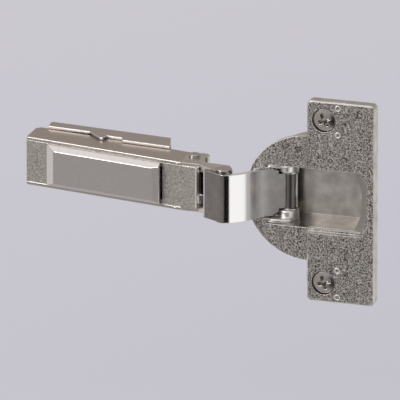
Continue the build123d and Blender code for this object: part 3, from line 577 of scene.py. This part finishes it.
def notch_lip(side):
    """Oval-section bar, swept up from |z| 7.75 to 8.6, from the circle of radius 19.75 in to u = -12.4."""
    s = np.linspace(0, 1, 24)[:, None]
    p = np.linspace(0, 2 * math.pi, 64, endpoint=False)[None, :]
    rim = np.clip(1 - np.abs(2 * s - 1) ** 14, 0, 1) ** 0.5
    z = 7.75 + 0.85 * s
    start = -np.sqrt(DISC_RADIUS ** 2 - z ** 2)
    c, d = np.cos(p), np.sin(p)
    u = (start + LIP_END) / 2 + (LIP_END - start) / 2 * np.sign(c) * np.abs(c) ** 0.12 * rim
    w = -0.67 + 0.66 * np.sign(d) * np.abs(d) ** 0.12 * rim
    return lay(DOOR, u, w, side * z + 0 * p)


lips = grid_mesh("notch_lips", [notch_lip(1), notch_lip(-1)], cup_casting, "cup", smooth=False)

# %% [markdown]
# The two arm axles are riveted: a press rolls each end over into a low dome with a dimple in its
# middle.  The frame has plain flat heads, so a thin cap goes on each.  The profile is worked out
# as a height over the radius and carried round the axle.

# %% Riveted caps
DOME, DIMPLE, SUNK = 0.30, 0.22, 0.3           # height of the cap, its dimple and its hidden foot
HEAD_FACE = 7.65 + 0.6                         # the frame's rivet heads end here, up and down


def riveted_cap(centre, base_z, side, radius):
    """Cap of revolution: height = DOME sqrt(1 - q^6) - DIMPLE exp(-(q / 0.3)^2), q from 0 to 1 outwards."""
    q = np.linspace(0, 1, 28)[:, None]
    p = np.linspace(0, 2 * math.pi, 56, endpoint=False)[None, :]
    height = DOME * np.sqrt(np.clip(1 - q ** 6, 0, 1)) - DIMPLE * np.exp(-(q / 0.3) ** 2)
    x, y = centre
    grid = np.stack([x + radius * q * np.cos(p), -y + radius * q * np.sin(p),
                     side * (base_z + height) + 0 * p], axis=-1)
    foot_z = side * (base_z - SUNK) + 0 * p
    foot = np.stack([x + radius * np.cos(p), -y + radius * np.sin(p), foot_z], axis=-1)
    middle = np.stack([x + 0 * p, -y + 0 * p, foot_z], axis=-1)
    return np.concatenate([grid, foot, middle]) * MM


caps = [riveted_cap(centre, HEAD_FACE, side, radius) for side in (-1, 1)
        for centre, radius in (((46.1, 20.0), 2.52), ((32.4, 10.7), 1.82))]
rivet_caps = grid_mesh("rivet_caps", caps, axle_steel, "arm")

# %% [markdown]
# A little dent on each edge of the arm locks the steel channel on the casting.  The two show as
# bright beads at the front end of the channel.  Each is a flattened ball, half sunk in the edge.

# %% Locking beads
def bead(a, z, long=1.15, wide=0.42, high=0.28):
    """Flattened ball: along = long sin t cos p, up = wide sin t sin p, off = high cos t."""
    t = np.linspace(0, math.pi, 17)[:, None]
    p = np.linspace(0, 2 * math.pi, 28, endpoint=False)[None, :]
    return lay(ARM, a + long * np.sin(t) * np.cos(p), high * np.cos(t) + 0 * p,
               z + wide * np.sin(t) * np.sin(p))


beads = grid_mesh("locking_beads", [bead(-6.9, 7.15), bead(-7.6, -7.15)], axle_steel, "arm")

# %% [markdown]
# Two upright edges show as bright lines, because they are well rounded: the front of the arm's
# nose and the free end of the wide link.  Each gets a bead along it, a bar of oval section whose
# ends close in a dome.

# %% Rounded upright edges
def upright_bead(x, height, half_x, half_h, half_z):
    """Oval bar: x = half_x rim cos p, height = half_h rim sin p, rim = sqrt(1 - t^12), z = half_z t."""
    t = np.sin(np.linspace(-math.pi / 2, math.pi / 2, 40))[:, None]
    p = np.linspace(0, 2 * math.pi, 32, endpoint=False)[None, :]
    rim = np.sqrt(np.clip(1 - t ** 12, 0, 1))
    return np.stack([x + half_x * rim * np.cos(p), -height - half_h * rim * np.sin(p), half_z * t + 0 * p],
                    axis=-1) * MM


nose_at = lay(ARM, -0.36, -0.12, 0) / MM
nose_bead = grid_mesh("nose_bead", [upright_bead(nose_at[0], -nose_at[1], 0.36, 0.24, 6.5)], smooth_zinc,
                      "arm")
link_end_bead = grid_mesh("link_end_bead", [upright_bead(40.30, 21.42, 0.3, 0.26, 7.5)], smooth_zinc,
                          "outer_link")

# %% [markdown]
# The overlay screw has a machine thread that shows between the shoe and the arm.  The thread is a
# sleeve whose radius rises and falls as a triangle wave, climbing one pitch of 0.8 mm in a turn.

# %% Overlay screw's thread
def thread_sleeve(x, low, high, core, crest, pitch):
    """Radius = core + crest * triangle(angle / 2 pi + height / pitch), the crest fading at both ends."""
    p = np.linspace(0, 2 * math.pi, 48, endpoint=False)[None, :]
    h = np.linspace(low, high, 110)[:, None]
    wave = 1 - 2 * np.abs((p / (2 * math.pi) + h / pitch) % 1.0 - 0.5)
    ends = np.clip(np.minimum(h - low, high - h) / 0.3, 0, 1)
    radius = core + crest * wave * ends
    body = np.stack([x + radius * np.cos(p), -h + 0 * p, radius * np.sin(p)], axis=-1)
    cap_low = np.stack([x + 0 * p, -low + 0 * p, 0 * p], axis=-1)
    cap_high = np.stack([x + 0 * p, -high + 0 * p, 0 * p], axis=-1)
    return np.concatenate([cap_low, body, cap_high]) * MM


overlay_thread = grid_mesh("overlay_thread", [thread_sleeve(15.5, 4.7, 12.0, 2.48, 0.3, 0.8)], screw_steel,
                           "overlay_screw")

# %% [markdown]
# A hinge hangs on a cabinet's side, with nothing under it.  Here it hangs clear above a plain
# pale floor that takes its shadow.  The floor's colour is painted a little darker towards the
# viewer, a painted falloff of light, as paper shows under one lamp.

# %% Floor
FLOOR_Z, FLOOR_HALF = -0.16, 3.0
PAINTED_FALLOFF = (-0.65, -0.25)      # metres along the viewing direction
VIEW_AZIMUTH, VIEW_ELEVATION = 23.4, 18.7      # the camera's direction, in degrees


def direction(azimuth, elevation):
    """Unit vector from the hinge; azimuth 0 looks out along -Y and turns towards +X, in degrees."""
    a, e = math.radians(azimuth), math.radians(elevation)
    return (math.cos(e) * math.sin(a), -math.cos(e) * math.cos(a), math.sin(e))


def floor_material(far, near):
    """A pale matt floor whose colour runs from far to near along the viewing direction, a painted falloff of
    light.
    """
    material, tree, shader = new_material("pale_paper_floor")
    where = add(tree, "ShaderNodeTexCoord").outputs["Object"]
    toward = add(tree, "ShaderNodeVectorMath", {"operation": "DOT_PRODUCT"}, i0=where,
                 i1=direction(VIEW_AZIMUTH, 0))
    painted_falloff = add(tree, "ShaderNodeMapRange", Value=toward.outputs["Value"], From_Min=PAINTED_FALLOFF[0],
               From_Max=PAINTED_FALLOFF[1])
    # Painted falloff of light: the floor's colour gets darker towards the viewer.
    tone = add(tree, "ShaderNodeMix", {"data_type": "RGBA"}, Factor=painted_falloff.outputs[0], i6=linear(far),
               i7=linear(near))
    tree.links.new(tone.outputs[2], shader.inputs["Base Color"])
    shader.inputs["Roughness"].default_value = 0.9
    shader.inputs["Specular IOR Level"].default_value = 0.1
    return material


def square_sheet(name, place, material):
    """A sheet of one face; place(x, y) says where each corner of the square from -1 to 1 lies."""
    mesh = bpy.data.meshes.new(name)
    mesh.from_pydata([place(x, y) for x, y in ((-1, -1), (1, -1), (1, 1), (-1, 1))], [], [(0, 1, 2, 3)])
    mesh.materials.append(material)
    sheet = bpy.data.objects.new(name, mesh)
    bpy.context.scene.collection.objects.link(sheet)
    return sheet


floor = square_sheet("studio_floor", lambda x, y: (x * FLOOR_HALF, y * FLOOR_HALF, FLOOR_Z),
                     floor_material("#E2E0E6", "#CFCED5"))
floor.visible_glossy = False

# %% [markdown]
# Polished metal has hardly a colour of its own: it shows the room.  The room is plain pale paper
# all round, and its colour is the world's.  Paper that is seen, straight or in the metal, is a
# little darker than the light it gives, which keeps the metal's contrast.

# %% Room light
world = bpy.data.worlds.new("studio_room")
bpy.context.scene.world = world
world.use_nodes = True
tree = world.node_tree
tree.nodes.clear()
light_path = add(tree, "ShaderNodeLightPath")
seen = add(tree, "ShaderNodeMath", {"operation": "MAXIMUM"}, i0=light_path.outputs["Is Camera Ray"],
           i1=light_path.outputs["Is Glossy Ray"])
shown = add(tree, "ShaderNodeMath", {"operation": "MAXIMUM"}, i0=seen.outputs[0],
            i1=light_path.outputs["Is Transmission Ray"])
room = add(tree, "ShaderNodeBackground", Color=linear("#D4D3D6"), Strength=1.0)
paper = add(tree, "ShaderNodeBackground", Color=linear("#CCCACE"), Strength=1.0)
mixed = add(tree, "ShaderNodeMixShader", Fac=shown.outputs[0], i1=room.outputs[0], i2=paper.outputs[0])
add(tree, "ShaderNodeOutputWorld", Surface=mixed.outputs[0])
print("room light", [round(v, 3) for v in linear("#D4D3D6")[:3]])

# %% [markdown]
# A studio hangs a few cards where the metal's faces look: a dark one behind the camera,
# bright ones to both sides.  Lamps in their places would light the floor as well.  So the cards are
# flat squares that only reflections see, and they fade out at their edges.

# %% Cards for the reflections
CENTRE = Vector((0.045, -0.012, 0))            # the cards and lamps point here, at the hinge's middle
# name, azimuth, elevation, full colour within, none past (all in degrees), colour, order
CARDS = (
    ("grey_card_left", -45, -22, 25, 55, "#BDBABA", 0),
    ("bright_card_left", -93, -18, 14, 24, "#FFFFFF", 1),
    ("grey_card_right", 95, -15, 18, 34, "#BEBCBC", 1),
    ("dark_card_behind_camera", 19, -18, 14, 25, "#100F0F", 2),
    ("white_card_right", 62, -18, 17, 32, "#FFFFFF", 3),
    ("bright_strip_right", 125, -18, 16, 24, "#FFFFFF", 4),
    ("pale_card_far_right", 168, -18, 10, 30, "#E6E2DF", 2),
    ("grey_card_over_back", 203, 20, 20, 50, "#B9B2AC", 2),
)


def card(name, azimuth, elevation, inner, outer, code, order):
    """A square card facing the hinge; full colour within inner degrees of its middle, none past outer.

    A card of a higher order hangs nearer, in front of the others."""
    away = 1.6 - 0.05 * order
    out = Vector(direction(azimuth, elevation))
    turn = out.to_track_quat("Z", "Y").to_matrix()
    reach = away * math.tan(math.radians(outer))
    material = bpy.data.materials.new(name)
    material.use_nodes = True
    material.cycles.emission_sampling = "NONE"
    tree = material.node_tree
    tree.nodes.clear()
    where = add(tree, "ShaderNodeTexCoord").outputs["Object"]
    offset = add(tree, "ShaderNodeVectorMath", {"operation": "DISTANCE"}, i0=where,
                 i1=(CENTRE + out * away)[:])
    fade = add(tree, "ShaderNodeMapRange", {"interpolation_type": "SMOOTHSTEP"},
               Value=offset.outputs["Value"], From_Min=reach, From_Max=away * math.tan(math.radians(inner)))
    glow = add(tree, "ShaderNodeEmission", Color=linear(code), Strength=1.0)
    clear = add(tree, "ShaderNodeBsdfTransparent")
    blend = add(tree, "ShaderNodeMixShader", Fac=fade.outputs[0], i1=clear.outputs[0], i2=glow.outputs[0])
    add(tree, "ShaderNodeOutputMaterial", Surface=blend.outputs[0])
    panel = square_sheet(name, lambda x, y: turn @ Vector((x * reach, y * reach, 0)) + CENTRE + out * away,
                         material)
    for ray in ("camera", "diffuse", "transmission", "volume_scatter", "shadow"):
        setattr(panel, "visible_" + ray, False)


for row in CARDS:
    card(*row)
print("cards:", len(CARDS), "around", [round(v, 3) for v in CENTRE])

# %% [markdown]
# Three square lamps give the soft shading and the shadow on the floor.  Two wide ones hang high up.
# A smaller and stronger one lower down at the left catches the top edges.

# %% Softboxes
# name, azimuth, elevation (degrees), distance, size (metres), power (watts)
LAMPS = (
    ("top_left_softbox", -62, 58, 0.9, 0.7, 1.05),
    ("top_softbox", 40, 70, 0.9, 0.5, 0.8),
    ("edge_softbox", -34, 29, 0.9, 0.34, 3.0),
)


def softbox(name, azimuth, elevation, distance, size, power):
    """A square area light that points at the hinge."""
    light = bpy.data.lights.new(name, "AREA")
    light.size = size
    light.energy = power
    lamp = bpy.data.objects.new(name, light)
    lamp.location = CENTRE + Vector(direction(azimuth, elevation)) * distance
    lamp.rotation_euler = (CENTRE - lamp.location).to_track_quat("-Z", "Y").to_euler()
    bpy.context.scene.collection.objects.link(lamp)


for row in LAMPS:
    softbox(*row)
print("lamps:", len(LAMPS))

# %% [markdown]
# The camera stands far off with a very long lens, so upright edges stay upright and parallel.  Its
# place is the middle of the cup's face, moved in the view's own right and up directions.

# %% Camera
CAMERA_DISTANCE = 4.0
FOCAL_PIXELS = 13176
IMAGE_PIXELS = 400
SHIFT_RIGHT, SHIFT_UP = -32.85, -0.546         # from the cup's middle to the view's, in millimetres
disc_centre = Vector((70.95, -12.9, 0)) * MM
out = Vector(direction(VIEW_AZIMUTH, VIEW_ELEVATION))
right = Vector((math.cos(math.radians(VIEW_AZIMUTH)), math.sin(math.radians(VIEW_AZIMUTH)), 0))
up = out.cross(right)
camera_data = bpy.data.cameras.new("long_lens_camera")
camera_data.sensor_width = 36.0
camera_data.lens = FOCAL_PIXELS / IMAGE_PIXELS * camera_data.sensor_width
camera_data.clip_start = 0.1
camera_data.clip_end = 20.0
camera = bpy.data.objects.new("long_lens_camera", camera_data)
place = disc_centre + SHIFT_RIGHT * MM * right + SHIFT_UP * MM * up + CAMERA_DISTANCE * out
camera.matrix_world = Matrix((
    (right.x, up.x, out.x, place.x),
    (right.y, up.y, out.y, place.y),
    (right.z, up.z, out.z, place.z),
    (0, 0, 0, 1),
))
bpy.context.scene.collection.objects.link(camera)
bpy.context.scene.camera = camera
bpy.context.scene.view_settings.view_transform = "Standard"
print("camera at", [round(v, 3) for v in place])
